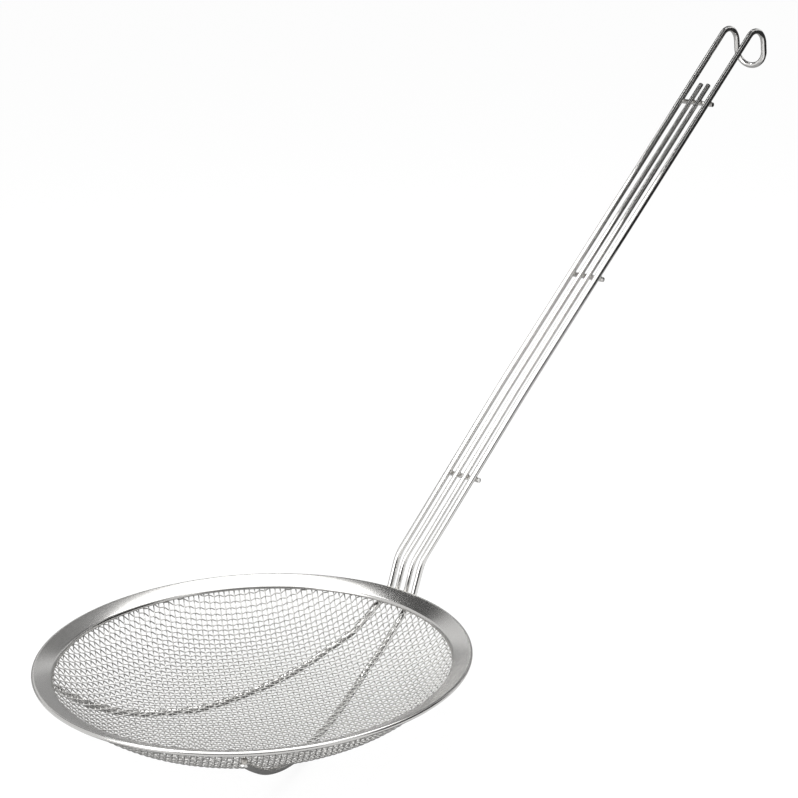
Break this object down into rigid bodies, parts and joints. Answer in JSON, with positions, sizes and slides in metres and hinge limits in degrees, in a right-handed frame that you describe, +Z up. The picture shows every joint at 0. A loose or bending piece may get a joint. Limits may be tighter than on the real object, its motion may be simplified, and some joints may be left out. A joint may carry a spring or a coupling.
{
  "type": "skimmer",
  "caption": "Long-handled skimmer: a shallow woven-mesh dish in a folded steel rim on a welded wire handle that ends in a hanging hook.",
  "frame": {"origin": "on the plane of the lowest point, under the middle of the part's box", "axes": "+X from the dish towards the handle, +Z up and square to the rim, Y = 0 the middle plane"},
  "size_m": [0.505, 0.2032, 0.2734],
  "materials": {
    "rim_sheet_steel": "bright rolled stainless steel",
    "mesh_wire_steel": "drawn stainless wire, woven and electropolished",
    "frame_wire_steel": "bright drawn stainless wire",
    "inner_wire_steel": "bright drawn stainless wire",
    "cross_bar_steel": "bright drawn stainless wire, cut ends"
  },
  "bodies": {
    "root": {"rim_band": "rim_sheet_steel", "mesh_warp_wires": "mesh_wire_steel", "mesh_weft_wires": "mesh_wire_steel", "handle_frame_wire": "frame_wire_steel", "inner_wire_left": "inner_wire_steel", "inner_wire_right": "inner_wire_steel", "cross_bar_lower": "cross_bar_steel", "cross_bar_middle": "cross_bar_steel", "cross_bar_upper": "cross_bar_steel"}
  },
  "joints": []
}
